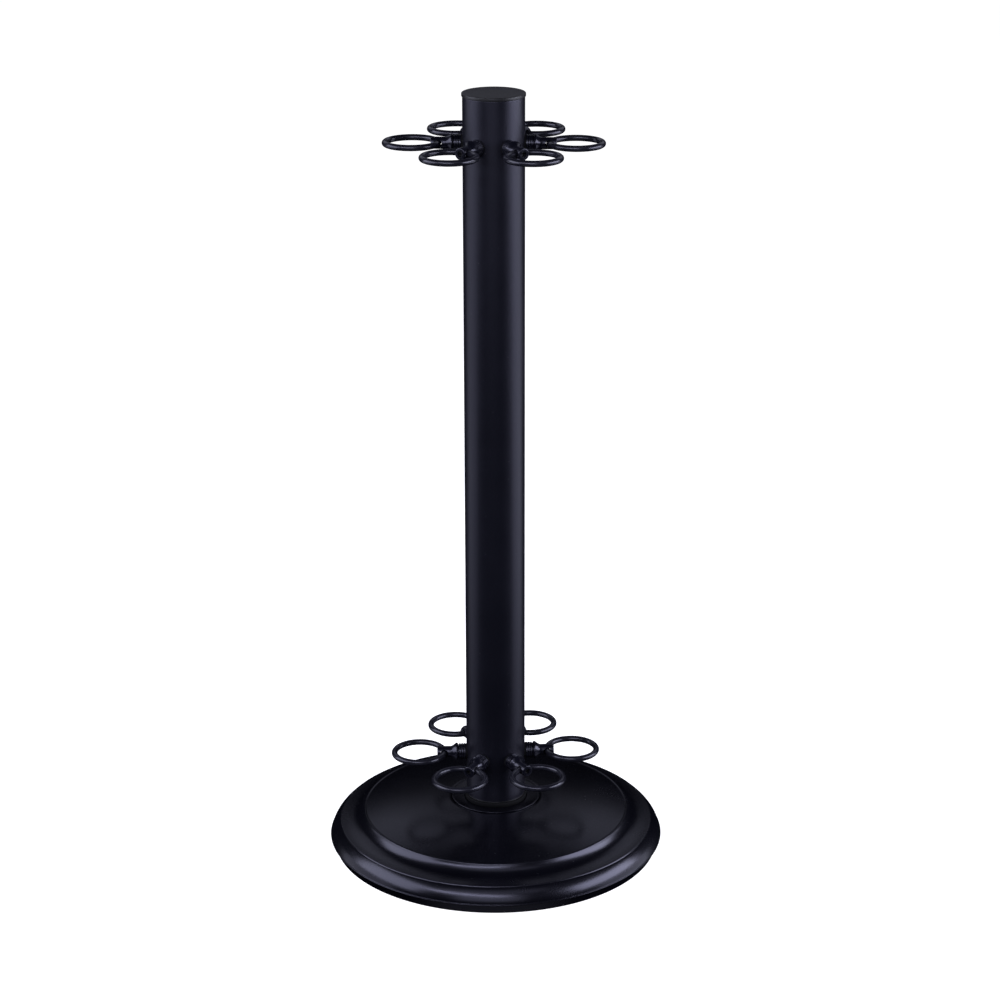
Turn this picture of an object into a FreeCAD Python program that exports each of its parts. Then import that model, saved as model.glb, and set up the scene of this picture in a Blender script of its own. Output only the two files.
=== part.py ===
import FreeCAD, Part
import math
import os

# Free-standing cue stand: a stepped round base, a straight column and two
# rows of six cue rings, each ring threaded through the eye of its own stem.
# The two rows are turned a little against each other.
# Millimetres. The origin is the centre of the base on the floor, +Z is up.

V = FreeCAD.Vector
AXIS_Z = V(0, 0, 1)

# Stand
ring_count = 6
upper_ring_z = 666.0
lower_ring_z = 90.9
upper_turn = -2.0
lower_turn = 2.7
rows = (("upper", upper_ring_z, upper_turn), ("lower", lower_ring_z, lower_turn))

# Base
skirt_foot_r = 150.8
skirt_foot_z = 1.0
base_r = 155.5
lip_r = 145.9
lip_z = 25.0
crest_r = 122.6
crest_z = 36.0
seat_r = 42.0
seat_z = 45.0
shell_t = 2.6

# Column
column_r = 27.2
column_wall = 2.0
column_foot_z = 50.8
column_top_z = 707.0
rod_r = 5.0

# Cap
cap_r = 27.95
cap_rim_z = 710.0
cap_top_z = 711.0

# Stem, measured outwards from the column axis
saddle_out = 28.2
groove_out = 34.9
collar_out = 36.2
bell_out = 41.4
eye_out = 48.1
stem_out = 54.4
flange_r = 7.6
collar_r = 8.25
barrel_r = 5.3
eye_r = 3.5
eye_shift = 0.25
tail_r = 3.0
tail_in = 16.5

# Ring
ring_r = 23.1
wire_r = 2.75

# Grub screw in the end of the stem
grub_r = 2.5
grub_gap = 0.45
grub_recess = 1.3


def lines(points):
    """Edges that join the points in order."""
    return [Part.makeLine(V(a[0], 0, a[1]), V(b[0], 0, b[1]))
            for a, b in zip(points[:-1], points[1:])]


def arc(start, middle, end):
    """One arc edge through three (radius, height) points."""
    return Part.Arc(V(start[0], 0, start[1]), V(middle[0], 0, middle[1]),
                    V(end[0], 0, end[1])).toShape()


def turned(edges):
    """Solid of revolution about the column axis from one closed outline."""
    wire = Part.Wire(Part.__sortEdges__(edges))
    solid = Part.Face(wire).revolve(V(0, 0, 0), AXIS_Z, 360)
    return Part.Solid(solid.Shells[0]) if solid.ShapeType != "Solid" else solid


def turned_lines(points):
    """Solid of revolution from a closed outline of straight lines."""
    return turned(lines(points + [points[0]]))


def tube(outer, inner, low, high):
    """Straight ring between two heights."""
    body = Part.makeCylinder(outer, high - low, V(0, 0, low))
    return body.cut(Part.makeCylinder(inner, high - low + 2, V(0, 0, low - 1)))


def hexagon(flats, low, high, bore):
    """Hexagonal nut on the column axis."""
    corner = flats / math.sqrt(3)
    points = [V(corner * math.cos(math.radians(60 * i)),
                corner * math.sin(math.radians(60 * i)), low)
              for i in range(7)]
    prism = Part.Face(Part.makePolygon(points)).extrude(V(0, 0, high - low))
    if bore:
        hole = Part.makeCylinder(bore, high - low + 2, V(0, 0, low - 1))
        prism = prism.cut(hole)
    return prism


def stem_angles(turn):
    """Directions of a row's stems, in degrees."""
    return [turn + 360 * i / ring_count for i in range(ring_count)]


def lay_out(shape, height, angle):
    """Turn a piece from the +Z axis to point outwards from the column."""
    placed = shape.copy()
    placed.rotate(V(0, 0, 0), V(0, 1, 0), 90)
    placed.translate(V(0, 0, height))
    placed.rotate(V(0, 0, 0), AXIS_Z, angle)
    return placed


def save(name, shape):
    """Write one named node."""
    if not shape.isValid():
        raise RuntimeError("invalid shape: " + name)
    shape.exportStep("parts/" + name + ".step")


# ---------------------------------------------------------------- base
def base_shell():
    """Pressed shell: flared skirt, roll, flat cove, steep wall, dome, seat."""
    foot = (skirt_foot_r, skirt_foot_z)
    skirt_top = (153.9, 9.6)
    roll_low = (base_r, 10.4)
    roll_mid = (152.5, 18.0)
    roll_top = (146.7, 24.1)
    lip_foot = (146.4, 24.3)
    lip_top = (lip_r, lip_z)
    cove_low = (lip_r - 0.9, lip_z + 0.1)
    wall_foot = (134.0, 26.6)
    wall_mid = (127.7, 29.6)
    wall_top = (124.0, 35.0)
    crest_mid = (123.6, 35.7)
    crest = (crest_r, crest_z)
    dome_low = (crest_r - 0.9, crest_z - 0.4)
    dome_mid = (84.0, 42.6)
    dome_top = (seat_r + 0.3, 46.2)
    seat_edge = (seat_r, 45.9)
    inner_seat = seat_z - shell_t
    outline = lines([foot, skirt_top])
    outline.append(arc(skirt_top, (155.15, 9.75), roll_low))
    outline.append(arc(roll_low, roll_mid, roll_top))
    outline += lines([roll_top, lip_foot, lip_top, cove_low])
    outline.append(arc(cove_low, (139.4, 25.6), wall_foot))
    outline.append(arc(wall_foot, wall_mid, wall_top))
    outline.append(arc(wall_top, crest_mid, crest))
    outline += lines([crest, dome_low])
    outline.append(arc(dome_low, dome_mid, dome_top))
    outline += lines([dome_top, seat_edge, (seat_r, seat_z),
                      (rod_r + 0.5, seat_z), (rod_r + 0.5, inner_seat),
                      (44.0, inner_seat)])
    outline.append(arc((44.0, inner_seat), (84.0, 39.2), (120.9, 32.6)))
    outline.append(arc((120.9, 32.6), (125.9, 27.6), (133.5, 24.0)))
    outline += lines([(133.5, 24.0), (144.2, 22.2)])
    outline.append(arc((144.2, 22.2), (149.6, 16.6), (152.4, 10.8)))
    outline += lines([(152.4, 10.8), (151.2, 10.0), (148.5, skirt_foot_z),
                      foot])
    return turned(outline)


def base_weight():
    """Cast ballast with a boss that carries the seat and a nut pocket."""
    top = seat_z - shell_t
    return turned_lines([(18.0, 4.6), (110.0, 4.6), (110.0, 15.0),
                         (106.0, 19.0), (48.0, 19.0), (34.0, 30.0),
                         (34.0, top), (rod_r + 0.5, top),
                         (rod_r + 0.5, 17.0), (18.0, 17.0)])


screw_circle_r = 90.0
screw_count = 4


def screw_places():
    """Centres of the bottom plate screws."""
    places = []
    for i in range(screw_count):
        turn = math.radians(45 + 360 * i / screw_count)
        places.append((screw_circle_r * math.cos(turn),
                       screw_circle_r * math.sin(turn)))
    return places


def plate_screw(grow):
    """Countersunk screw standing on the axis, head down."""
    head = Part.makeCone(4.6 + grow, 2.5 + grow, 2.1, V(0, 0, 3.0))
    shank = Part.makeCylinder(2.5 + grow, 10.9, V(0, 0, 5.1))
    screw = head.fuse(shank)
    if grow == 0:
        screw = screw.cut(hexagon(3.0, 2.9, 4.6, 0))
    return screw


def bottom_plate():
    """Flat closing plate with countersinks."""
    plate = Part.makeCylinder(147.6, 1.6, V(0, 0, 3.0))
    for x, y in screw_places():
        hole = plate_screw(0.001)
        hole.translate(V(x, y, 0))
        plate = plate.cut(hole)
    return plate


def bored_weight():
    """Ballast with the screw holes."""
    weight = base_weight()
    for x, y in screw_places():
        hole = Part.makeCylinder(2.5, 13.5, V(x, y, 4.0))
        cone = Part.makeCone(4.6, 2.5, 2.1, V(x, y, 3.0))
        weight = weight.cut(hole.fuse(cone))
    return weight


def plate_screws():
    """The screws that hold the bottom plate."""
    screws = []
    for x, y in screw_places():
        screw = plate_screw(0)
        screw.translate(V(x, y, 0))
        screws.append(screw)
    return Part.makeCompound(screws)


def foot_ring():
    """Rubber ring on which the stand rests."""
    return turned_lines([(138.0, 0.4), (138.6, 0.0), (146.2, 0.0),
                         (146.8, 0.4), (146.8, 3.0), (138.0, 3.0)])


# -------------------------------------------------------------- column
def seat_ring():
    """Dished trim ring let into the top of the dome."""
    return turned_lines([(28.7, seat_z), (41.3, seat_z), (41.3, 46.6),
                         (41.0, 46.9), (40.4, 47.0), (29.2, 45.95),
                         (28.7, 45.7)])


def foot_gasket():
    """Soft ring between the dome and the column."""
    return turned_lines([(20.0, seat_z), (28.4, seat_z), (28.4, 49.2),
                         (28.0, 49.6), (20.0, 49.6)])


def foot_ferrule():
    """Thin metal ring under the end of the tube."""
    return turned_lines([(24.0, 49.6), (27.0, 49.6), (27.4, 50.0),
                         (27.4, 50.5), (27.2, 50.8), (24.0, 50.8)])


def foot_plug():
    """Turned plug that centres the foot of the tube on the rod."""
    inner = column_r - column_wall
    return turned_lines([(rod_r, 49.6), (24.0, 49.6), (24.0, 50.8),
                         (inner, 50.8), (inner, 64.0), (23.6, 66.0),
                         (rod_r, 66.0)])


def top_plug():
    """Turned plug that takes the thread at the top of the rod."""
    inner = column_r - column_wall
    return turned_lines([(rod_r, 688.0), (23.6, 688.0), (inner, 690.0),
                         (inner, 703.0), (rod_r, 703.0)])


def column_tube():
    """Straight tube with a clearance hole behind every stem."""
    inner = column_r - column_wall
    body = turned_lines([(inner, column_foot_z), (column_r, column_foot_z),
                         (column_r, column_top_z - 0.5),
                         (column_r - 0.4, column_top_z),
                         (inner, column_top_z)])
    hole = Part.makeCylinder(tail_r + 0.3, 12.0, V(0, 0, 20.0))
    for row, height, turn in rows:
        for angle in stem_angles(turn):
            body = body.cut(lay_out(hole, height, angle))
    return body


def top_cap():
    """Low domed cap with a rolled rim and a spigot inside the tube."""
    inner = column_r - column_wall
    low = column_top_z
    outline = lines([(0, 703.6), (inner, 703.6), (inner, low),
                     (cap_r - 0.5, low)])
    outline.append(arc((cap_r - 0.5, low), (cap_r - 0.15, low + 0.15),
                       (cap_r, low + 0.5)))
    outline += lines([(cap_r, low + 0.5), (cap_r, cap_rim_z - 0.7)])
    outline.append(arc((cap_r, cap_rim_z - 0.7),
                       (cap_r - 0.2, cap_rim_z - 0.2),
                       (cap_r - 0.7, cap_rim_z)))
    outline.append(arc((cap_r - 0.7, cap_rim_z), (15.0, cap_top_z - 0.2),
                       (4.0, cap_top_z)))
    outline += lines([(4.0, cap_top_z), (0, cap_top_z), (0, 703.6)])
    return turned(outline)


def tie_rod():
    """Rod that clamps base, column and plugs together."""
    return turned_lines([(0, 6.5), (4.2, 6.5), (rod_r, 7.3),
                         (rod_r, 699.2), (4.2, 700.0), (0, 700.0)])


# --------------------------------------------------------------- stems
def stem_outline():
    """Closed outline of a stem: (radius, distance from the axis)."""
    ridges = [28.2, 30.3, 32.4]
    points = [(tail_r, saddle_out), (flange_r - 0.5, saddle_out)]
    for low in ridges:
        points += [(flange_r, low + 0.4), (flange_r, low + 1.3),
                   (flange_r - 0.7, low + 1.7), (flange_r - 0.7, low + 1.9)]
    points += [(flange_r - 1.1, groove_out - 0.2),
               (flange_r - 1.1, groove_out)]
    return points


def stem():
    """Turned stem: threaded tail, ridged flange, bell, barrel and eye."""
    points = stem_outline()
    edges = lines([(0, tail_in), (tail_r - 0.6, tail_in),
                   (tail_r, tail_in + 0.6)] + points)
    start = points[-1]
    edges.append(arc(start, (collar_r - 0.35, groove_out + 0.35),
                     (collar_r, collar_out - 0.2)))
    edges += lines([(collar_r, collar_out - 0.2), (collar_r, collar_out + 0.6)])
    edges.append(arc((collar_r, collar_out + 0.6), (6.65, 38.8),
                     (barrel_r, bell_out)))
    edges += lines([(barrel_r, bell_out), (barrel_r, stem_out - 0.9)])
    edges.append(arc((barrel_r, stem_out - 0.9),
                     (barrel_r - 0.26, stem_out - 0.26),
                     (barrel_r - 0.9, stem_out)))
    edges += lines([(barrel_r - 0.9, stem_out), (0, stem_out), (0, tail_in)])
    body = turned(edges)
    middle = eye_out + eye_shift
    eye = Part.makeCylinder(eye_r, 20.0, V(0, -10.0, middle), V(0, 1, 0))
    thread = Part.makeCylinder(grub_r, 10.0, V(0, 0, eye_out))
    return body.cut(eye).cut(thread)


def saddle():
    """Shaped washer between the round column and the flat flange."""
    body = tube(flange_r - 0.3, tail_r + 0.3, 20.0, saddle_out)
    column = Part.makeCylinder(column_r, 60.0, V(-30.0, 0, 0), V(1, 0, 0))
    return body.cut(column)


def inner_saddle():
    """Shaped washer inside the tube, under the nut."""
    body = tube(6.0, tail_r + 0.05, 22.8, 30.0)
    bore = Part.makeCylinder(column_r - column_wall, 60.0, V(-30.0, 0, 0),
                             V(1, 0, 0))
    return body.common(bore)


def stem_nut():
    """Nut on the threaded tail."""
    return hexagon(10.0, 17.8, 22.8, tail_r)


def grub_screw():
    """Socket screw that bears on the ring wire."""
    low = eye_out + wire_r + grub_gap
    high = stem_out - grub_recess
    body = Part.makeCylinder(grub_r, high - low, V(0, 0, low))
    return body.cut(hexagon(2.5, high - 1.2, high + 1.0, 0))


def ring():
    """Closed wire ring lying flat, seen from the column axis."""
    return Part.makeTorus(ring_r, wire_r, V(eye_out + ring_r, 0, 0), AXIS_Z)


def group(piece, height, turn):
    """One of a small piece at every stem of a row."""
    shapes = [lay_out(piece, height, angle) for angle in stem_angles(turn)]
    return Part.makeCompound(shapes)


os.makedirs("parts", exist_ok=True)

save("base_shell", base_shell())
save("base_weight", bored_weight())
save("base_bottom_plate", bottom_plate())
save("base_plate_screws", plate_screws())
save("base_foot_ring", foot_ring())
save("column_seat_ring", seat_ring())
save("column_foot_gasket", foot_gasket())
save("column_foot_ferrule", foot_ferrule())
save("column_foot_plug", foot_plug())
save("column_tube", column_tube())
save("column_top_plug", top_plug())
save("column_cap", top_cap())
save("tie_rod", tie_rod())
save("tie_rod_nut", hexagon(17.0, 7.0, 15.0, rod_r))
save("tie_rod_washer", tube(13.0, rod_r + 0.25, 15.0, 17.0))

stem_shape = stem()
ring_shape = ring()
for row, height, turn in rows:
    for i, angle in enumerate(stem_angles(turn)):
        save("%s_stem_%d" % (row, i + 1), lay_out(stem_shape, height, angle))
        placed = ring_shape.copy()
        placed.translate(V(0, 0, height))
        placed.rotate(V(0, 0, 0), AXIS_Z, angle)
        save("%s_ring_%d" % (row, i + 1), placed)
    save(row + "_saddles", group(saddle(), height, turn))
    save(row + "_inner_saddles", group(inner_saddle(), height, turn))
    save(row + "_stem_nuts", group(stem_nut(), height, turn))
    save(row + "_grub_screws", group(grub_screw(), height, turn))
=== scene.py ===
import math

import bmesh
import bpy
from bpy.props import FloatProperty, FloatVectorProperty, IntProperty, PointerProperty
from mathutils import Matrix, Vector


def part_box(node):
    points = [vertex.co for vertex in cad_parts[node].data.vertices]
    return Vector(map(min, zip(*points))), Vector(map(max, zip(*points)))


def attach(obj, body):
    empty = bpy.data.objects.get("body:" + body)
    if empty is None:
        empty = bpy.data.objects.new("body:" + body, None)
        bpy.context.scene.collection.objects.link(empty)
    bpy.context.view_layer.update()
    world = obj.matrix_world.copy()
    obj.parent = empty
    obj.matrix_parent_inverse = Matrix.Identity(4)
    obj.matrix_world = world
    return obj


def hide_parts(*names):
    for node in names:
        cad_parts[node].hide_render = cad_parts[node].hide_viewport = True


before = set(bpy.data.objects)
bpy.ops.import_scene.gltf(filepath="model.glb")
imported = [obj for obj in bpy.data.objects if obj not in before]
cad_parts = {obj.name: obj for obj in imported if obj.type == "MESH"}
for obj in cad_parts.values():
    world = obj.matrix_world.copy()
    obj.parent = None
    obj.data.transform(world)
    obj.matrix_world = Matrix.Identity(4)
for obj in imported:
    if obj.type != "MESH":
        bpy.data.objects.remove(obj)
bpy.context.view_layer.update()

bl_info = {
    "name": "Cue Ring Stand",
    "version": (1, 0, 0),
    "blender": (4, 5, 0),
    "location": "3D View > Sidebar > Cue Stand",
    "description": "Builds the visible pieces of a free-standing cue stand on its packed frame",
    "category": "Object",
}

MM = 0.001
STAND = "stand"
ROWS = ("upper", "lower")

# Heights and radii that the frame gives, in metres
TUBE_LOW, TUBE_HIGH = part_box("column_tube")
RING_LOW, RING_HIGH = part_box("upper_ring_1")
RING_CENTRES = {row: sum(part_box(row + "_ring_1"), Vector()) / 2 for row in ROWS}
ROW_HEIGHTS = {row: centre.z for row, centre in RING_CENTRES.items()}
ROW_TURNS = {row: math.atan2(centre.y, centre.x) for row, centre in RING_CENTRES.items()}
RING_REACH = RING_CENTRES["upper"].xy.length
RING_COUNT = sum(name.startswith("upper_ring_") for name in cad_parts)
WIRE_RADIUS = (RING_HIGH.z - RING_LOW.z) / 2
STEM_REACH = 0.0544

# Fixings of a stem in millimetres, measured outwards from the column's axis
EYE_REACH = 48.35
EYE_RADIUS = 3.5
GRUB_FOOT = 51.3
GRUB_RECESS = 1.3
SOCKET_DEPTH = 1.2
THREAD_RADIUS = 2.5


# ------------------------------------------------------------------ settings
class StandSizes(bpy.types.PropertyGroup):
    """Sizes of the stand that its pieces are made from"""

    column_radius: FloatProperty(
        name="Column Radius", description="Outer radius of the tube",
        default=TUBE_HIGH.x, unit="LENGTH")
    stem_reach: FloatProperty(
        name="Stem Reach", description="Distance from the column's axis to the end of a stem",
        default=STEM_REACH, unit="LENGTH")
    ring_radius: FloatProperty(
        name="Ring Radius", description="Radius of a ring along the middle of its wire",
        default=(RING_HIGH.x - RING_LOW.x) / 2 - WIRE_RADIUS, unit="LENGTH")
    wire_radius: FloatProperty(
        name="Wire Radius", description="Radius of the ring wire",
        default=WIRE_RADIUS, unit="LENGTH")
    ring_count: IntProperty(
        name="Rings in a Row", description="Rings round the column in each row",
        default=RING_COUNT, min=3, max=12)
    base_steps: IntProperty(
        name="Base Steps", description="Facets round the base", default=360, min=64, max=512)
    column_steps: IntProperty(
        name="Column Steps", description="Facets round the column", default=240, min=48, max=512)
    stem_steps: IntProperty(
        name="Stem Steps", description="Facets round a stem", default=96, min=24, max=192)


class StandFinish(bpy.types.PropertyGroup):
    """Colours and gloss of the stand"""

    coat_colour: FloatVectorProperty(
        name="Coat", description="Enamel of the base and column", subtype="COLOR",
        size=3, min=0, max=1, default=(0.0036, 0.0037, 0.0066))
    wire_colour: FloatVectorProperty(
        name="Wire Coat", description="Enamel of the rings", subtype="COLOR",
        size=3, min=0, max=1, default=(0.011, 0.011, 0.016))
    coat_roughness: FloatProperty(
        name="Column Roughness", description="Roughness of the column's enamel", subtype="FACTOR",
        default=0.36, min=0, max=1)
    base_roughness: FloatProperty(
        name="Base Roughness", description="Roughness of the base's enamel", subtype="FACTOR",
        default=0.25, min=0, max=1)
    wire_roughness: FloatProperty(
        name="Wire Roughness", description="Roughness of the ring enamel", subtype="FACTOR",
        default=0.22, min=0, max=1)


# --------------------------------------------------------------- node graphs
class Wire:
    """An output socket that takes part in expressions"""

    def __init__(self, graph, socket):
        self.graph = graph
        self.socket = socket

    def at(self, name):
        """Another output of the same node"""
        return Wire(self.graph, self.socket.node.outputs[name])

    def maths(self, operation, *terms):
        return self.graph.node("ShaderNodeMath", {"operation": operation}, dict(enumerate(terms)))

    def __add__(self, other):
        return self.maths("ADD", self, other)

    def __sub__(self, other):
        return self.maths("SUBTRACT", self, other)

    def __mul__(self, other):
        return self.maths("MULTIPLY", self, other)

    def __truediv__(self, other):
        return self.maths("DIVIDE", self, other)

    def __pow__(self, other):
        return self.maths("POWER", self, other)

    def __lt__(self, other):
        return self.maths("LESS_THAN", self, other)

    __radd__ = __add__
    __rmul__ = __mul__


class Graph:
    """A node tree that is built by calls"""

    def __init__(self, tree):
        self.tree = tree

    def node(self, kind, settings=None, values=None, output=0):
        """Any node: its type, its settings, then the values or links of its sockets"""
        made = self.tree.nodes.new(kind)
        for name, value in (settings or {}).items():
            if name == "stops":
                set_stops(made.color_ramp, value)
            elif name == "captures":
                for item in value:
                    made.capture_items.new(*item)
            else:
                setattr(made, name, value)
        for key, value in (values or {}).items():
            if isinstance(value, Wire):
                self.tree.links.new(value.socket, made.inputs[key])
            else:
                made.inputs[key].default_value = value
        return Wire(self, made.outputs[output]) if len(made.outputs) else made


def set_stops(ramp, stops):
    """Colour ramp stops from (position, grey or colour) pairs"""
    while len(ramp.elements) > 1:
        ramp.elements.remove(ramp.elements[-1])
    for i, (position, value) in enumerate(stops):
        element = ramp.elements[0] if i == 0 else ramp.elements.new(position)
        element.position = position
        element.color = (value, value, value, 1) if isinstance(value, float) else (*value, 1)


# ----------------------------------------------------------------- materials
class Finish(Graph):
    """A material with one Principled shader, and the patterns that the finishes share"""

    def __init__(self, name, **constants):
        self.material = bpy.data.materials.new(name)
        self.material.use_nodes = True
        super().__init__(self.material.node_tree)
        self.shader = self.tree.nodes["Principled BSDF"]
        for socket, value in constants.items():
            self.shader.inputs[socket.replace("_", " ")].default_value = value
        self.place = self.node("ShaderNodeTexCoord", output="Object")

    def noise(self, size, detail=2.0, roughness=0.5, place=None):
        """Noise from 0 to 1 with features of about this size in metres"""
        values = {"Vector": place or self.place, "Scale": 1 / size, "Detail": detail,
                  "Roughness": roughness}
        return self.node("ShaderNodeTexNoise", None, values)

    def specks(self, size, share):
        """Mask of scattered round specks, each up to a share of its cell"""
        cell = self.node("ShaderNodeTexVoronoi", None,
                         {"Vector": self.place, "Scale": 1 / size, "Randomness": 1.0})
        chance = self.node("ShaderNodeSeparateColor", None, {0: cell.at("Color")})
        return (cell < chance * share)

    def ramp(self, value, *stops):
        return self.node("ShaderNodeValToRGB", {"stops": stops}, {"Fac": value})

    def mix(self, factor, first, second):
        """Colour from first to second"""
        values = {"Factor": factor, "A": _colour(first), "B": _colour(second)}
        return self.node("ShaderNodeMix", {"data_type": "RGBA"}, _mix_sockets(values), 2)

    def bump(self, height, distance, strength=1.0, normal=None):
        values = {"Height": height, "Distance": distance, "Strength": strength}
        if normal:
            values["Normal"] = normal
        return self.node("ShaderNodeBump", None, values)

    def feed(self, socket, wire):
        self.tree.links.new(wire.socket, self.shader.inputs[socket])


def _colour(value):
    return value if isinstance(value, Wire) else (*value, 1)


def _mix_sockets(values):
    """The colour sockets of a Mix node stand behind its number and vector ones"""
    return {0: values["Factor"], 6: values["A"], 7: values["B"]}


def lighter(colour, times):
    """A colour scaled in brightness"""
    return tuple(min(1.0, part * times) for part in colour)


def enamel(name, colour, roughness, peel, tint):
    """Stoved black enamel: slight orange peel, uneven gloss, faint dust and hair scratches"""
    fin = Finish(name, IOR=1.5, Specular_Tint=(*tint, 1))
    cloud = fin.noise(0.055, 3.0)
    fine = fin.noise(0.0011, 2.0)
    dust = fin.specks(0.0065, 0.055)
    streak_place = fin.node("ShaderNodeMapping", None,
                            {"Vector": fin.place, "Rotation": (0.5, 0.3, 0.9), "Scale": (1, 1, 0.04)})
    streak = fin.noise(0.0006, 1.0, place=streak_place)
    hair = fin.ramp(streak, (0.0, 0.0), (0.74, 0.0), (0.78, 1.0))
    shade = fin.mix(cloud, lighter(colour, 0.8), lighter(colour, 1.25))
    fin.feed("Base Color", fin.mix(dust * 0.6, shade, (0.10, 0.10, 0.105)))
    fin.feed("Roughness", (cloud - 0.5) * 0.10 + (fine - 0.5) * 0.05 + dust * 0.2 + hair * 0.04 + roughness)
    broad = fin.bump(fin.noise(0.0042, 1.0), 0.00002 * peel, 0.6)
    fin.feed("Normal", fin.bump(fine, 0.000012 * peel, 0.6, broad))
    return fin.material


def coat_finish():
    settings = bpy.context.scene.stand_finish
    return shared("Column enamel", lambda name: enamel(
        name, tuple(settings.coat_colour), settings.coat_roughness, 1.0, (0.82, 0.81, 1.0)))


def base_finish_painted_shade():
    settings = bpy.context.scene.stand_finish
    # Same enamel as the column at 0.6 brightness: painted shade that darkens the base shell, seat ring and
    # bottom plate
    return shared("Base enamel", lambda name: enamel(
        name, lighter(settings.coat_colour, 0.6), settings.base_roughness, 0.6, (0.84, 0.83, 1.0)))


def stem_finish():
    settings = bpy.context.scene.stand_finish
    # Same enamel as the column at 1.3 brightness: painted light that makes the stems lighter
    return shared("Stem enamel", lambda name: enamel(
        name, lighter(settings.coat_colour, 1.3), settings.base_roughness - 0.02, 0.6, (0.86, 0.85, 1.0)))


def wire_finish():
    settings = bpy.context.scene.stand_finish
    return shared("Wire enamel", lambda name: enamel(
        name, tuple(settings.wire_colour), settings.wire_roughness, 0.5, (0.90, 0.89, 1.0)))


def plastic(name):
    """Moulded black plastic with a fine spark-eroded grain"""
    fin = Finish(name, IOR=1.47)
    grain = fin.noise(0.00035, 2.0, 0.6)
    cloud = fin.noise(0.018, 2.0)
    shade = fin.mix(cloud, (0.0085, 0.0085, 0.009), (0.013, 0.013, 0.0135))
    fin.feed("Base Color", fin.mix(fin.specks(0.005, 0.05) * 0.5, shade, (0.10, 0.10, 0.10)))
    fin.feed("Roughness", (grain - 0.5) * 0.12 + (cloud - 0.5) * 0.08 + 0.40)
    fin.feed("Normal", fin.bump(grain, 0.00001, 0.5))
    return fin.material


def rubber(name, colour, roughness):
    """Moulded rubber: dull, mottled, with a trace of bloom and grit"""
    fin = Finish(name, IOR=1.5, Specular_IOR_Level=0.22)
    mottle = fin.noise(0.006, 4.0, 0.6)
    grit = fin.noise(0.0005, 2.0)
    shade = fin.mix(mottle, lighter(colour, 0.7), lighter(colour, 1.5))
    fin.feed("Base Color", fin.mix(fin.specks(0.003, 0.09) * 0.5, shade, (0.08, 0.078, 0.07)))
    fin.feed("Roughness", (mottle - 0.5) * 0.14 + roughness)
    fin.feed("Normal", fin.bump(grit, 0.00003, 0.6))
    return fin.material


def blackened_steel(name):
    """Oil-blackened steel: dark metal with faint turning lines round the column's axis"""
    fin = Finish(name, Metallic=1.0)
    parts = fin.node("ShaderNodeSeparateXYZ", None, {0: fin.place})
    reach = (parts * parts + parts.at("Y") * parts.at("Y")) ** 0.5
    lathe = fin.node("ShaderNodeCombineXYZ", None, {"X": reach, "Z": parts.at("Z")})
    rings = fin.noise(0.00035, 2.0, place=lathe)
    cloud = fin.noise(0.012, 3.0)
    fin.feed("Base Color", fin.mix(cloud, (0.024, 0.024, 0.026), (0.048, 0.048, 0.050)))
    fin.feed("Roughness", (rings - 0.5) * 0.16 + (cloud - 0.5) * 0.10 + 0.40)
    fin.feed("Normal", fin.bump(rings, 0.000012, 0.7))
    return fin.material


def zinc(name):
    """Bright zinc plate: fine crystal facets, dull patches and a slight yellow cast"""
    fin = Finish(name, Metallic=1.0)
    facet = fin.node("ShaderNodeTexVoronoi", None, {"Vector": fin.place, "Scale": 1 / 0.0045})
    tone = fin.node("ShaderNodeSeparateColor", None, {0: facet.at("Color")})
    cloud = fin.noise(0.03, 3.0)
    shade = fin.mix(tone, (0.46, 0.47, 0.48), (0.58, 0.585, 0.58))
    fin.feed("Base Color", fin.mix(cloud * 0.5, shade, (0.50, 0.47, 0.40)))
    fin.feed("Roughness", (tone - 0.5) * 0.12 + (cloud - 0.5) * 0.18 + 0.36)
    fin.feed("Normal", fin.bump(fin.noise(0.0007, 2.0), 0.000012, 0.6))
    return fin.material


def cast_iron(name):
    """Sand-cast iron: pitted, dark grey with rust in the hollows"""
    fin = Finish(name, Metallic=0.7)
    sand = fin.noise(0.0016, 4.0, 0.65)
    cloud = fin.noise(0.03, 3.0)
    shade = fin.mix(cloud, (0.055, 0.056, 0.058), (0.105, 0.103, 0.10))
    rust = fin.ramp(sand, (0.30, 1.0), (0.44, 0.0))
    fin.feed("Base Color", fin.mix(rust * 0.6, shade, (0.12, 0.045, 0.018)))
    fin.feed("Roughness", rust * 0.2 + (cloud - 0.5) * 0.1 + 0.66)
    fin.feed("Normal", fin.bump(sand, 0.0004, 0.8))
    return fin.material


def shared(name, make):
    """The material of this name, made at its first use"""
    return bpy.data.materials.get(name) or make(name)


def cap_finish():
    return shared("Cap plastic", plastic)


def gasket_finish():
    return shared("Gasket rubber", lambda name: rubber(name, (0.0025, 0.0025, 0.003), 0.85))


def foot_finish():
    return shared("Foot rubber", lambda name: rubber(name, (0.018, 0.018, 0.018), 0.78))


def dark_steel_finish():
    return shared("Blackened steel", blackened_steel)


def zinc_finish():
    return shared("Zinc plate", zinc)


def iron_finish():
    return shared("Cast iron", cast_iron)


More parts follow.
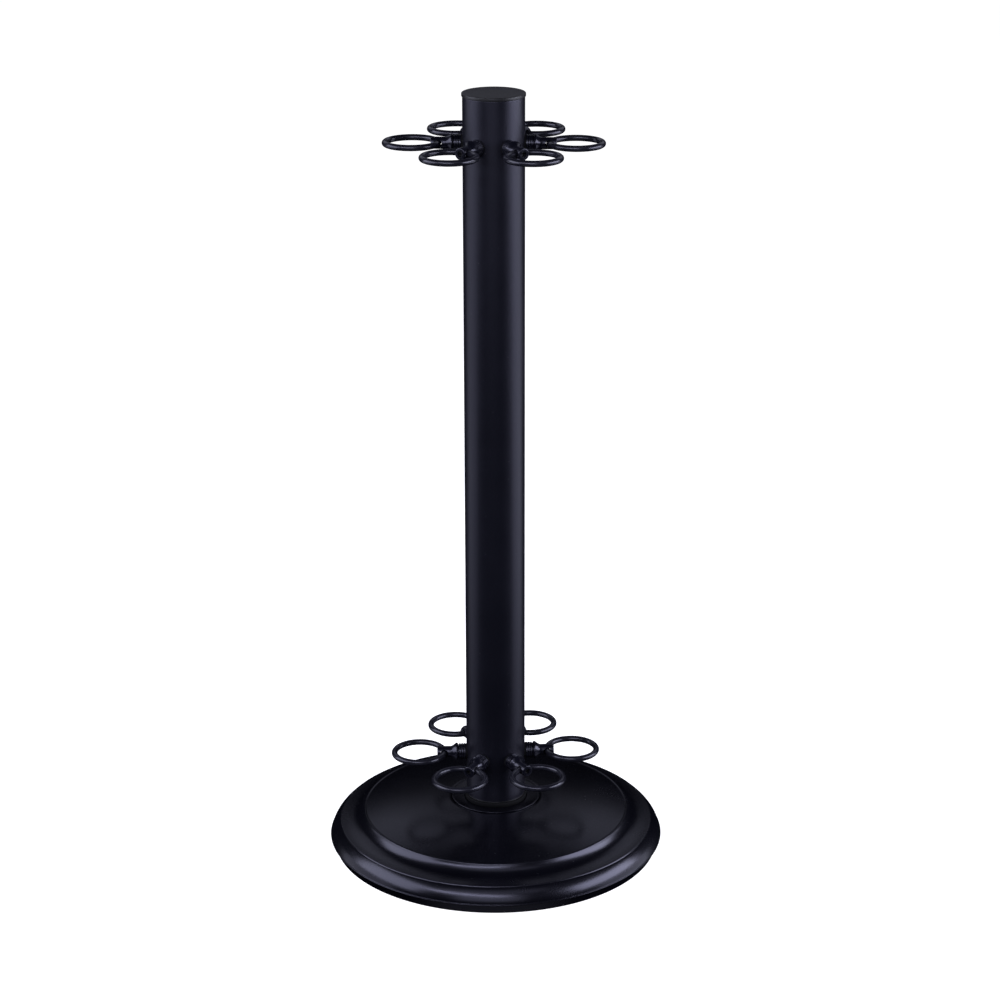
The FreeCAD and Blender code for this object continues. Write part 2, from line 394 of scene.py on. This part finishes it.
# ------------------------------------------------------------------ outlines
class Outline:
    """An outline of (radius, height) points in millimetres, with arcs and rounded corners"""

    def __init__(self, radius, height, rounding=0.0):
        self.points = [(Vector((radius, height)), rounding)]

    def to(self, radius, height, rounding=0.0):
        """A straight run to a point"""
        self.points.append((Vector((radius, height)), rounding))
        return self

    def arc(self, middle, end, rounding=0.0, steps=16):
        """An arc from the last point through the middle to the end"""
        start = self.points[-1][0]
        centre = circle_centre(start, Vector(middle), Vector(end))
        first = angle_of(start - centre)
        half = (angle_of(Vector(middle) - centre) - first) % math.tau
        whole = (angle_of(Vector(end) - centre) - first) % math.tau
        if half > whole:
            whole -= math.tau
        radius = (start - centre).length
        for i in range(1, steps):
            turn = first + whole * i / steps
            self.points.append((centre + radius * Vector((math.cos(turn), math.sin(turn))), 0.0))
        return self.to(*end, rounding)

    def mesh(self, name, closed):
        """The outline as a chain of edges in the XZ plane, in metres"""
        chain = []
        count = len(self.points)
        for i, (point, rounding) in enumerate(self.points):
            inside = closed or 0 < i < count - 1
            if rounding and inside:
                before = self.points[i - 1][0]
                after = self.points[(i + 1) % count][0]
                chain += rounded(before, point, after, rounding)
            else:
                chain.append(point)
        made = bpy.data.meshes.new(name)
        links = [(i, i + 1) for i in range(len(chain) - 1)]
        if closed:
            links.append((len(chain) - 1, 0))
        made.from_pydata([(p.x * MM, 0, p.y * MM) for p in chain], links, [])
        return made


def circle_centre(a, b, c):
    """Centre of the circle through three points"""
    d = 2 * (a.x * (b.y - c.y) + b.x * (c.y - a.y) + c.x * (a.y - b.y))
    aa, bb, cc = a.length_squared, b.length_squared, c.length_squared
    x = (aa * (b.y - c.y) + bb * (c.y - a.y) + cc * (a.y - b.y)) / d
    y = (aa * (c.x - b.x) + bb * (a.x - c.x) + cc * (b.x - a.x)) / d
    return Vector((x, y))


def angle_of(v):
    return math.atan2(v.y, v.x)


def rounded(before, corner, after, radius, steps=4):
    """Points that round a corner, with one more beside each end to hold the shading flat"""
    back = (before - corner)
    ahead = (after - corner)
    turn = math.pi - back.angle(ahead)
    cut = radius * math.tan(turn / 2)
    room = 0.45 * min(back.length, ahead.length)
    if cut > room:
        radius *= room / cut
        cut = room
    start = corner + back.normalized() * cut
    end = corner + ahead.normalized() * cut
    middle = (back.normalized() + ahead.normalized()).normalized()
    centre = corner + middle * (radius / math.cos(turn / 2))
    points = []
    if back.length > 3 * cut:
        points.append(corner + back.normalized() * cut * 2.2)
    for i in range(steps + 1):
        blend = (start - centre).lerp(end - centre, i / steps)
        points.append(centre + blend.normalized() * radius)
    if ahead.length > 3 * cut:
        points.append(corner + ahead.normalized() * cut * 2.2)
    return points


# -------------------------------------------------------------- shape trees
def new_tree(name, inputs):
    """A geometry tree with named inputs, its graph and its inputs by name"""
    tree = bpy.data.node_groups.new(name, "GeometryNodeTree")
    for label, kind, default in inputs:
        socket = tree.interface.new_socket(label, in_out="INPUT", socket_type="NodeSocket" + kind)
        if default is not None:
            socket.default_value = default
    tree.interface.new_socket("Piece", in_out="OUTPUT", socket_type="NodeSocketGeometry")
    graph = Graph(tree)
    given = graph.node("NodeGroupInput")
    return graph, {label: given.at(label) for label, _, _ in inputs}


def end_tree(graph, geometry, finish):
    """Realize Instances, Set Material and the group output"""
    real = graph.node("GeometryNodeRealizeInstances", None, {0: geometry})
    painted = graph.node("GeometryNodeSetMaterial", None, {"Geometry": real, "Material": finish})
    graph.node("NodeGroupOutput", None, {0: painted})
    return graph.tree


def turned_tree():
    """Carries an outline round the upright axis"""
    graph, given = new_tree("Turned piece", [
        ("Outline", "Geometry", None), ("Steps", "Int", 96), ("Finish", "Material", None)])
    place = graph.node("GeometryNodeInputPosition")
    captures = {"domain": "POINT", "captures": [("VECTOR", "Place")]}
    outline = graph.node("GeometryNodeMeshToCurve", None, {0: given["Outline"]})
    section = graph.node("GeometryNodeCaptureAttribute", captures, {"Geometry": outline, "Place": place})
    circle = graph.node("GeometryNodeCurvePrimitiveCircle", {"mode": "RADIUS"},
                        {"Resolution": given["Steps"], "Radius": 1.0})
    path = graph.node("GeometryNodeCaptureAttribute", captures, {"Geometry": circle, "Place": place})
    skin = graph.node("GeometryNodeCurveToMesh", None, {"Curve": path, "Profile Curve": section})
    reach = graph.node("ShaderNodeSeparateXYZ", None, {0: section.at("Place")})
    around = graph.node("ShaderNodeSeparateXYZ", None, {0: path.at("Place")})
    moved = graph.node("ShaderNodeCombineXYZ", None, {
        "X": around * reach, "Y": around.at("Y") * reach, "Z": reach.at("Z")})
    turned = graph.node("GeometryNodeSetPosition", None, {"Geometry": skin, "Position": moved})
    whole = graph.node("GeometryNodeMergeByDistance", None, {"Geometry": turned, "Distance": 1e-7})
    smooth = graph.node("GeometryNodeSetShadeSmooth", None, {0: whole})
    return end_tree(graph, smooth, given["Finish"])


def row_tree():
    """Sets copies of one piece round the upright axis"""
    graph, given = new_tree("Row of pieces", [
        ("Piece", "Geometry", None), ("Count", "Int", 6), ("Height", "Float", 0.0),
        ("First Turn", "Float", 0.0), ("Finish", "Material", None)])
    index = graph.node("GeometryNodeInputIndex")
    turn = index * math.tau / given["Count"] + given["First Turn"]
    up = graph.node("ShaderNodeCombineXYZ", None, {"Z": given["Height"]})
    points = graph.node("GeometryNodePoints", None, {"Count": given["Count"], "Position": up})
    euler = graph.node("ShaderNodeCombineXYZ", None, {"Z": turn})
    rotation = graph.node("FunctionNodeEulerToRotation", None, {0: euler})
    copies = graph.node("GeometryNodeInstanceOnPoints", None, {
        "Points": points, "Instance": given["Piece"], "Rotation": rotation})
    return end_tree(graph, copies, given["Finish"])


def hoop_tree():
    """A closed wire ring held out from the upright axis"""
    graph, given = new_tree("Wire ring", [
        ("Host", "Geometry", None), ("Ring Radius", "Float", 0.02), ("Wire Radius", "Float", 0.002),
        ("Ring Steps", "Int", 160), ("Wire Steps", "Int", 40), ("Reach", "Float", 0.07),
        ("Height", "Float", 0.0), ("Turn", "Float", 0.0), ("Finish", "Material", None)])
    ring = graph.node("GeometryNodeCurvePrimitiveCircle", {"mode": "RADIUS"},
                      {"Resolution": given["Ring Steps"], "Radius": given["Ring Radius"]})
    wire = graph.node("GeometryNodeCurvePrimitiveCircle", {"mode": "RADIUS"},
                      {"Resolution": given["Wire Steps"], "Radius": given["Wire Radius"]})
    skin = graph.node("GeometryNodeCurveToMesh", None, {"Curve": ring, "Profile Curve": wire})
    smooth = graph.node("GeometryNodeSetShadeSmooth", None, {0: skin})
    out = graph.node("ShaderNodeCombineXYZ", None, {"X": given["Reach"]})
    held = graph.node("GeometryNodeTransform", None, {"Geometry": smooth, "Translation": out})
    up = graph.node("ShaderNodeCombineXYZ", None, {"Z": given["Height"]})
    euler = graph.node("ShaderNodeCombineXYZ", None, {"Z": given["Turn"]})
    rotation = graph.node("FunctionNodeEulerToRotation", None, {0: euler})
    placed = graph.node("GeometryNodeTransform", None, {
        "Geometry": held, "Translation": up, "Rotation": rotation})
    return end_tree(graph, placed, given["Finish"])


def grown(tree_maker, source, inputs):
    """The plain mesh that a tree makes from a source mesh and its named inputs"""
    tree = bpy.data.node_groups.get(tree_maker.__name__) or tree_maker()
    tree.name = tree_maker.__name__
    host = bpy.data.objects.new("host", source or bpy.data.meshes.new("empty"))
    bpy.context.scene.collection.objects.link(host)
    modifier = host.modifiers.new("shape", "NODES")
    modifier.node_group = tree
    for item in tree.interface.items_tree:
        if item.in_out == "INPUT" and item.name in inputs:
            modifier[item.identifier] = inputs[item.name]
    return taken(host, recalculate=True)


def taken(host, recalculate=False):
    """The evaluated mesh of a helper object, which is then removed with its modifiers"""
    shown = host.evaluated_get(bpy.context.evaluated_depsgraph_get())
    mesh = bpy.data.meshes.new_from_object(shown)
    host.modifiers.clear()
    source = host.data
    bpy.data.objects.remove(host)
    if source.users == 0:
        bpy.data.meshes.remove(source)
    if recalculate:
        work = bmesh.new()
        work.from_mesh(mesh)
        bmesh.ops.recalc_face_normals(work, faces=work.faces)
        work.to_mesh(mesh)
        work.free()
    return mesh


def turned(outline, steps, finish, closed=True):
    """A turned mesh from an outline"""
    return grown(turned_tree, outline.mesh("outline", closed), {"Steps": steps, "Finish": finish})


def cut_away(mesh, *cutters):
    """A mesh with the cutters taken out of it, hard edges kept hard"""
    for cutter in cutters:
        host = bpy.data.objects.new("host", mesh)
        tool = bpy.data.objects.new("tool", cutter)
        for helper in (host, tool):
            bpy.context.scene.collection.objects.link(helper)
        modifier = host.modifiers.new("cut", "BOOLEAN")
        modifier.operation = "DIFFERENCE"
        modifier.solver = "EXACT"
        modifier.object = tool
        mesh = taken(host)
        bpy.data.objects.remove(tool)
    mesh.set_sharp_from_angle(angle=math.radians(32))
    return mesh


def outwards(height, turn):
    """Lays a piece made along +Z so that it points away from the column"""
    return (Matrix.Rotation(turn, 4, "Z") @ Matrix.Translation((0, 0, height))
            @ Matrix.Rotation(math.pi / 2, 4, "Y"))


def rod(radius, low, high, steps=48, flats=False):
    """A plain round or six-sided cutter along +Z, in millimetres"""
    work = bmesh.new()
    reach = radius / math.cos(math.pi / 6) if flats else radius
    bmesh.ops.create_cone(work, cap_ends=True, segments=6 if flats else steps,
                          radius1=reach * MM, radius2=reach * MM, depth=(high - low) * MM,
                          matrix=Matrix.Translation((0, 0, (low + high) / 2 * MM)))
    for face in work.faces:
        face.smooth = not flats and len(face.verts) == 4
    mesh = bpy.data.meshes.new("rod")
    work.to_mesh(mesh)
    work.free()
    return mesh


def add_piece(name, mesh, body, nodes, finish):
    """A finished piece on its body, in place of its CAD nodes"""
    piece = bpy.data.objects.new(name, mesh)
    mesh.name = name
    bpy.context.scene.collection.objects.link(piece)
    mesh.materials.clear()
    mesh.materials.append(finish)
    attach(piece, body)
    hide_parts(*nodes)
    return piece


def dress(nodes, finish):
    """A better material on CAD nodes that keep their own shape"""
    for name in nodes:
        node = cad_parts[name]
        if not node.data.materials:
            node.data.materials.append(finish)
        for holder in node.material_slots:
            holder.material = finish


def row_turns(row, count):
    """Index and turn of each piece of a row round the column"""
    return [(i + 1, ROW_TURNS[row] + math.tau * i / count) for i in range(count)]


def full_row(row, piece, count, finish=None):
    """One of a small piece at every stem of a row"""
    inputs = {"Count": count, "Height": ROW_HEIGHTS[row], "First Turn": ROW_TURNS[row]}
    if finish:
        inputs["Finish"] = finish
    return grown(row_tree, piece.copy(), inputs)


# ---------------------------------------------------------------- base parts
def shell_outline():
    """Pressed shell: flared skirt, bead, roll, flat cove, steep wall, dome and seat, 2.6 mm thick"""
    line = Outline(150.8, 1.0, 0.5)
    line.to(153.9, 9.6, 0.2)
    line.arc((155.15, 9.75), (155.5, 10.3), steps=6)
    line.arc((155.4, 10.75), (154.95, 11.0), steps=6).to(154.75, 11.3, 0.15)
    line.arc((152.2, 18.0), (146.7, 24.1), steps=28)
    line.to(146.4, 24.3, 0.3).to(145.9, 25.0, 0.4).to(145.0, 25.1, 0.3)
    line.arc((139.4, 25.6), (134.0, 26.6), steps=10)
    line.arc((128.0, 29.8), (124.0, 35.2), steps=28)
    line.arc((123.5, 35.8), (122.6, 36.0), steps=8)
    line.to(121.7, 35.6, 0.3)
    line.arc((84.0, 42.6), (42.3, 46.2), steps=32)
    line.to(42.0, 45.9, 0.15).to(42.0, 45.0).to(5.5, 45.0).to(5.5, 42.4).to(44.0, 42.4)
    line.arc((84.0, 39.2), (120.9, 32.6))
    line.arc((125.9, 27.6), (133.5, 24.0)).to(144.2, 22.2)
    line.arc((149.6, 16.6), (152.4, 10.8), steps=10)
    return line.to(151.2, 10.0).to(148.5, 1.0, 0.5)


def foot_outline():
    """Rubber foot ring with three moulded grooves in its tread"""
    line = Outline(146.8, 3.0).to(146.8, 0.4, 0.3).to(146.2, 0.0, 0.2)
    for groove in (145.0, 142.8, 140.6):
        line.to(groove, 0.0, 0.2).to(groove - 0.3, 0.6, 0.15)
        line.to(groove - 0.9, 0.6, 0.15).to(groove - 1.2, 0.0, 0.2)
    return line.to(138.6, 0.0, 0.2).to(138.0, 0.4, 0.3).to(138.0, 3.0)


class STAND_OT_base_shell(bpy.types.Operator):
    """Builds the stepped, domed shell of the base"""

    bl_idname = "stand.base_shell"
    bl_label = "Base Shell"

    def execute(self, context):
        steps = context.scene.stand_sizes.base_steps
        mesh = turned(shell_outline(), steps, base_finish_painted_shade())
        add_piece("shell_pressing", mesh, STAND, ["base_shell"], base_finish_painted_shade())
        return {"FINISHED"}


class STAND_OT_base_underside(bpy.types.Operator):
    """Builds the foot ring and plate screws, and finishes the plate and ballast"""

    bl_idname = "stand.base_underside"
    bl_label = "Base Underside"

    def execute(self, context):
        steps = context.scene.stand_sizes.base_steps
        mesh = turned(foot_outline(), steps, foot_finish())
        add_piece("foot_tread", mesh, STAND, ["base_foot_ring"], foot_finish())
        screw = Outline(0.0, 3.0).to(4.6, 3.0, 0.25).to(2.5, 5.1).to(2.5, 15.6).to(2.1, 16.0).to(0.0, 16.0)
        one = cut_away(turned(screw, 48, zinc_finish(), closed=False), rod(1.5, 2.0, 4.6, flats=True))
        reach = (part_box("base_plate_screws")[1].x - 4.6 * MM) * math.sqrt(2)
        one.transform(Matrix.Translation((reach, 0, 0)))
        four = grown(row_tree, one, {"Count": 4, "First Turn": math.pi / 4, "Finish": zinc_finish()})
        add_piece("plate_screw_set", four, STAND, ["base_plate_screws"], zinc_finish())
        dress(["base_bottom_plate"], base_finish_painted_shade())
        dress(["base_weight"], iron_finish())
        return {"FINISHED"}


# -------------------------------------------------------------- column parts
def tube_outline(radius):
    """Tube 2 mm thick, with rows of points above and below each row of stems"""
    inner = radius - 2.0
    low, high = TUBE_LOW.z / MM, TUBE_HIGH.z / MM
    rows = [ROW_HEIGHTS[row] / MM + side for row in ("lower", "upper") for side in (-9, -5, 5, 9)]
    line = Outline(radius, low, 0.25)
    for height in rows:
        line.to(radius, height)
    line.to(radius, high, 0.4).to(inner, high)
    for height in reversed(rows):
        line.to(inner, height)
    return line.to(inner, low)


class STAND_OT_column_tube(bpy.types.Operator):
    """Builds the column with a clearance hole behind each stem"""

    bl_idname = "stand.column_tube"
    bl_label = "Column Tube"

    def execute(self, context):
        sizes = context.scene.stand_sizes
        mesh = turned(tube_outline(sizes.column_radius / MM), sizes.column_steps, coat_finish())
        drill = rod(3.3, 20.0, 32.0)
        drill.transform(outwards(0, 0))
        for row in ROWS:
            mesh = cut_away(mesh, full_row(row, drill, sizes.ring_count))
        add_piece("column_body", mesh, STAND, ["column_tube"], coat_finish())
        return {"FINISHED"}


class STAND_OT_column_cap(bpy.types.Operator):
    """Builds the low domed cap with its rolled rim and spigot"""

    bl_idname = "stand.column_cap"
    bl_label = "Column Cap"

    def execute(self, context):
        sizes = context.scene.stand_sizes
        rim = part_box("column_cap")[1].x / MM
        spigot = sizes.column_radius / MM - 2.0
        line = Outline(0.0, 703.6).to(spigot, 703.6, 0.3).to(spigot, 707.0).to(rim - 0.5, 707.0)
        line.arc((rim - 0.15, 707.15), (rim, 707.5), steps=5)
        line.to(rim, 709.3)
        line.arc((rim - 0.2, 709.8), (rim - 0.7, 710.0), steps=6)
        line.arc((15.0, 710.8), (4.0, 711.0), steps=16)
        line.to(0.0, 711.0)
        mesh = turned(line, sizes.column_steps, cap_finish(), closed=False)
        add_piece("cap_moulding", mesh, STAND, ["column_cap"], cap_finish())
        return {"FINISHED"}


class STAND_OT_column_foot(bpy.types.Operator):
    """Builds the seat ring, the gasket and the ferrule round the column's foot"""

    bl_idname = "stand.column_foot"
    bl_label = "Column Foot"

    def execute(self, context):
        steps = context.scene.stand_sizes.column_steps
        seat = Outline(28.7, 45.0).to(41.3, 45.0).to(41.3, 46.9, 0.3).to(40.3, 47.0, 0.4)
        seat.arc((34.6, 46.2), (29.2, 45.95), steps=12).to(28.7, 45.7, 0.1)
        gasket = Outline(20.0, 45.0).to(28.4, 45.0).to(28.4, 49.6, 0.7).to(20.0, 49.6)
        ferrule = Outline(24.0, 49.6).to(27.0, 49.6).arc((27.4, 50.2), (27.2, 50.8), steps=8)
        ferrule.to(24.0, 50.8)
        for name, line, node, slot, finish in (
                ("seat_trim", seat, "column_seat_ring", "black_coat", base_finish_painted_shade()),
                ("foot_seal", gasket, "column_foot_gasket", "gasket_rubber", gasket_finish()),
                ("foot_ferrule", ferrule, "column_foot_ferrule", "dark_steel", dark_steel_finish())):
            mesh = turned(line, steps, finish)
            add_piece(name, mesh, STAND, [node], finish)
        return {"FINISHED"}


class STAND_OT_column_inside(bpy.types.Operator):
    """Finishes the plugs, the tie rod and the fixings inside the column"""

    bl_idname = "stand.column_inside"
    bl_label = "Column Inside"

    def execute(self, context):
        dress(["tie_rod", "tie_rod_nut", "tie_rod_washer"], zinc_finish())
        dress([row + part for row in ROWS for part in ("_inner_saddles", "_stem_nuts")], zinc_finish())
        dress(["column_foot_plug", "column_top_plug"], zinc_finish())
        return {"FINISHED"}


# --------------------------------------------------------- stems and fixings
def stem_outline(end):
    """Turned stem: threaded tail, three ridges, groove, collar, bell and barrel"""
    flange, collar, barrel = 7.6, 8.25, 5.3
    line = Outline(0.0, 16.5).to(2.4, 16.5).to(3.0, 17.1)
    line.to(3.0, 28.2).to(flange, 28.2, 0.3)
    for low in (28.2, 30.3, 32.4):
        line.to(flange, low + 1.5, 0.35).to(flange - 0.85, low + 1.7, 0.12)
        line.to(flange - 0.85, low + 1.95, 0.12)
        if low < 32.0:
            line.to(flange, low + 2.15, 0.3)
    line.to(flange - 1.1, 34.7).to(flange - 1.1, 34.95)
    line.arc((collar - 0.35, 35.35), (collar, 36.1), steps=7).to(collar, 36.8, 0.3)
    line.arc((6.65, 38.8), (barrel, 41.4), steps=12)
    line.to(barrel, 46.0).to(barrel, end - 0.9)
    line.arc((barrel - 0.26, end - 0.26), (barrel - 0.9, end), steps=6)
    return line.to(0.0, end)


def eye_cutter():
    """Cross hole for the wire, with a small chamfer at each mouth"""
    line = Outline(0.0, -9.0).to(5.6, -9.0).to(3.9, -5.0).to(EYE_RADIUS, -4.5)
    line.to(EYE_RADIUS, 4.5).to(3.9, 5.0).to(5.6, 9.0).to(0.0, 9.0)
    mesh = turned(line, 64, stem_finish(), closed=False)
    mesh.transform(Matrix.Translation((0, 0, EYE_REACH * MM)) @ Matrix.Rotation(math.pi / 2, 4, "X"))
    return mesh


class STAND_OT_stems(bpy.types.Operator):
    """Builds the twelve turned stems with their eyes"""

    bl_idname = "stand.stems"
    bl_label = "Stems"

    def execute(self, context):
        sizes = context.scene.stand_sizes
        blank = turned(stem_outline(sizes.stem_reach / MM), sizes.stem_steps, stem_finish(), closed=False)
        one = cut_away(blank, eye_cutter(), rod(THREAD_RADIUS, 48.0, 60.0))
        for row in ROWS:
            for i, turn in row_turns(row, sizes.ring_count):
                mesh = one.copy()
                mesh.transform(outwards(ROW_HEIGHTS[row], turn))
                node = "%s_stem_%d" % (row, i)
                add_piece(node + "_turned", mesh, STAND, [node], stem_finish())
        bpy.data.meshes.remove(one)
        return {"FINISHED"}


class STAND_OT_saddles(bpy.types.Operator):
    """Builds the shaped washers between the column and the stems"""

    bl_idname = "stand.saddles"
    bl_label = "Saddles"

    def execute(self, context):
        sizes = context.scene.stand_sizes
        line = Outline(3.3, 22.0).to(7.3, 22.0).to(7.3, 28.2, 0.25).to(3.3, 28.2)
        blank = turned(line, 72, gasket_finish())
        column = rod(sizes.column_radius / MM, -30.0, 30.0, steps=sizes.column_steps)
        column.transform(Matrix.Rotation(math.pi / 2, 4, "Y"))
        one = cut_away(blank, column)
        one.transform(outwards(0, 0))
        for row in ROWS:
            mesh = full_row(row, one, sizes.ring_count, gasket_finish())
            node = row + "_saddles"
            add_piece(node + "_shaped", mesh, STAND, [node], gasket_finish())
        return {"FINISHED"}


class STAND_OT_grub_screws(bpy.types.Operator):
    """Builds the socket screws in the ends of the stems"""

    bl_idname = "stand.grub_screws"
    bl_label = "Grub Screws"

    def execute(self, context):
        sizes = context.scene.stand_sizes
        low, high = GRUB_FOOT, sizes.stem_reach / MM - GRUB_RECESS
        line = Outline(0.0, low).to(1.6, low).to(2.45, low + 0.7).to(2.45, high, 0.3).to(0.0, high)
        blank = turned(line, 48, dark_steel_finish(), closed=False)
        one = cut_away(blank, rod(1.25, high - SOCKET_DEPTH, high + 1.0, flats=True))
        one.transform(outwards(0, 0))
        for row in ROWS:
            mesh = full_row(row, one, sizes.ring_count, dark_steel_finish())
            node = row + "_grub_screws"
            add_piece(node + "_socket", mesh, STAND, [node], dark_steel_finish())
        return {"FINISHED"}


class STAND_OT_rings(bpy.types.Operator):
    """Builds the twelve wire rings, each on its own body"""

    bl_idname = "stand.rings"
    bl_label = "Rings"

    def execute(self, context):
        sizes = context.scene.stand_sizes
        for row in ROWS:
            for i, turn in row_turns(row, sizes.ring_count):
                inputs = {"Ring Radius": sizes.ring_radius, "Wire Radius": sizes.wire_radius,
                          "Reach": RING_REACH, "Height": ROW_HEIGHTS[row], "Turn": turn,
                          "Finish": wire_finish()}
                node = "%s_ring_%d" % (row, i)
                mesh = grown(hoop_tree, None, inputs)
                add_piece(node + "_wire", mesh, node, [node], wire_finish())
        return {"FINISHED"}


# --------------------------------------------------------------------- stage
CAMERA_PLACE = (0.0, -2.2842, 1.1392)
CAMERA_PITCH, CAMERA_YAW, CAMERA_ROLL = math.radians(19.305), 0.00206, math.radians(-0.1311)
CAMERA_LENS = 96.33

LIGHT_DISTANCE = 2.4
LIGHT_AIM = Vector((0, 0, 0.36))

# Softboxes: name, turn from the front towards +X, height angle, width, height, watts.
# The bounce lights and the one under the stand take the place of light off a pale floor.
LIGHTS = (
    ("Right wall", 80, 14, 2.4, 1.1, 55),
    ("Left wall", -80, 20, 2.4, 1.6, 45),
    ("Front fill", -5, 14, 1.8, 1.1, 8),
    ("Right bounce", 95, -14, 2.2, 1.1, 10),
    ("Left bounce", -95, -14, 2.2, 1.1, 6),
    ("Front strip", -20, 30, 2.2, 0.3, 20),
    ("High fill", 0, 48, 2.6, 0.8, 4),
    ("Back rim", 180, 30, 1.2, 0.8, 1),
    ("Left rim", -150, 30, 1.2, 0.8, 1.5),
    ("Right rim", 150, 30, 1.2, 0.8, 1.5),
    ("Under", 0, -62, 3.0, 1.2, 2),
)


def softbox(name, turn, lift, width, height, watts):
    """A rectangular light that faces the middle of the stand and isn't seen itself"""
    turn, lift = math.radians(turn), math.radians(lift)
    away = Vector((math.sin(turn) * math.cos(lift), -math.cos(turn) * math.cos(lift), math.sin(lift)))
    data = bpy.data.lights.new(name, "AREA")
    data.shape = "RECTANGLE"
    data.size, data.size_y = width, height
    data.energy = watts
    data.color = (0.80, 0.82, 1.0)
    light = bpy.data.objects.new(name, data)
    light.matrix_world = (Matrix.Translation(LIGHT_AIM + away * LIGHT_DISTANCE)
                          @ away.to_track_quat("Z", "Y").to_matrix().to_4x4())
    light.visible_camera = False
    bpy.context.scene.collection.objects.link(light)
    return light


def floor_material():
    """Pale studio floor that glows enough to stay white"""
    fin = Finish("Studio floor", Roughness=1.0, Specular_IOR_Level=0.0)
    cloud = fin.noise(0.9, 1.0)
    fin.feed("Base Color", fin.mix(cloud, (0.80, 0.80, 0.80), (0.83, 0.83, 0.83)))
    fin.shader.inputs["Emission Color"].default_value = (1, 1, 1, 1)
    fin.shader.inputs["Emission Strength"].default_value = 1.0
    return fin.material


class STAND_OT_stage(bpy.types.Operator):
    """Builds the floor, the world, the lights and the camera"""

    bl_idname = "stand.stage"
    bl_label = "Stage"

    def execute(self, context):
        scene = context.scene
        scene.view_settings.view_transform = "Standard"
        world = bpy.data.worlds.new("Studio")
        world.use_nodes = True
        world.node_tree.nodes["Background"].inputs["Color"].default_value = (1, 1, 1, 1)
        world.cycles_visibility.diffuse = False
        world.cycles_visibility.glossy = False
        scene.world = world

        mesh = bpy.data.meshes.new("floor")
        half = 60.0
        mesh.from_pydata([(-half, -half, 0), (half, -half, 0), (half, half, 0), (-half, half, 0)],
                         [], [(0, 1, 2, 3)])
        mesh.materials.append(floor_material())
        floor = bpy.data.objects.new("floor", mesh)
        scene.collection.objects.link(floor)
        floor.visible_glossy = False
        floor.visible_diffuse = False
        floor.visible_shadow = False

        for light in LIGHTS:
            softbox(*light)
        place_camera(scene)
        return {"FINISHED"}


def place_camera(scene):
    """Camera in front of the stand, above its top, looking down at it"""
    data = bpy.data.cameras.new("Camera")
    data.lens = CAMERA_LENS
    data.sensor_width = 36.0
    data.clip_end = 200.0
    forward = Vector((math.sin(CAMERA_YAW) * math.cos(CAMERA_PITCH),
                      math.cos(CAMERA_YAW) * math.cos(CAMERA_PITCH), -math.sin(CAMERA_PITCH)))
    level = Vector((math.cos(CAMERA_YAW), -math.sin(CAMERA_YAW), 0))
    upright = level.cross(forward)
    right = level * math.cos(CAMERA_ROLL) + upright * math.sin(CAMERA_ROLL)
    top = upright * math.cos(CAMERA_ROLL) - level * math.sin(CAMERA_ROLL)
    turn = Matrix((right, top, -forward)).transposed().to_4x4()
    camera = bpy.data.objects.new("Camera", data)
    camera.matrix_world = Matrix.Translation(CAMERA_PLACE) @ turn
    scene.collection.objects.link(camera)
    scene.camera = camera


# ---------------------------------------------------------------- the add-on
STEPS = (
    STAND_OT_base_shell, STAND_OT_base_underside, STAND_OT_column_tube, STAND_OT_column_cap,
    STAND_OT_column_foot, STAND_OT_column_inside, STAND_OT_stems, STAND_OT_saddles,
    STAND_OT_grub_screws, STAND_OT_rings, STAND_OT_stage,
)


class STAND_PT_panel(bpy.types.Panel):
    """Lists the stand's sizes, finishes and pieces"""

    bl_idname = "STAND_PT_panel"
    bl_label = "Cue Stand"
    bl_space_type = "VIEW_3D"
    bl_region_type = "UI"
    bl_category = "Cue Stand"

    def draw(self, context):
        for settings in (context.scene.stand_sizes, context.scene.stand_finish):
            box = self.layout.box()
            for name in settings.bl_rna.properties.keys():
                if name not in ("rna_type", "name"):
                    box.prop(settings, name)
        for step in STEPS:
            self.layout.operator(step.bl_idname)


CLASSES = (StandSizes, StandFinish, *STEPS, STAND_PT_panel)


def register():
    for cls in CLASSES:
        bpy.utils.register_class(cls)
    bpy.types.Scene.stand_sizes = PointerProperty(type=StandSizes)
    bpy.types.Scene.stand_finish = PointerProperty(type=StandFinish)


def unregister():
    del bpy.types.Scene.stand_finish
    del bpy.types.Scene.stand_sizes
    for cls in reversed(CLASSES):
        bpy.utils.unregister_class(cls)


def main():
    """Builds every piece in order"""
    register()
    for step in STEPS:
        group, name = step.bl_idname.split(".")
        getattr(getattr(bpy.ops, group), name)()


if __name__ == "__main__":
    main()
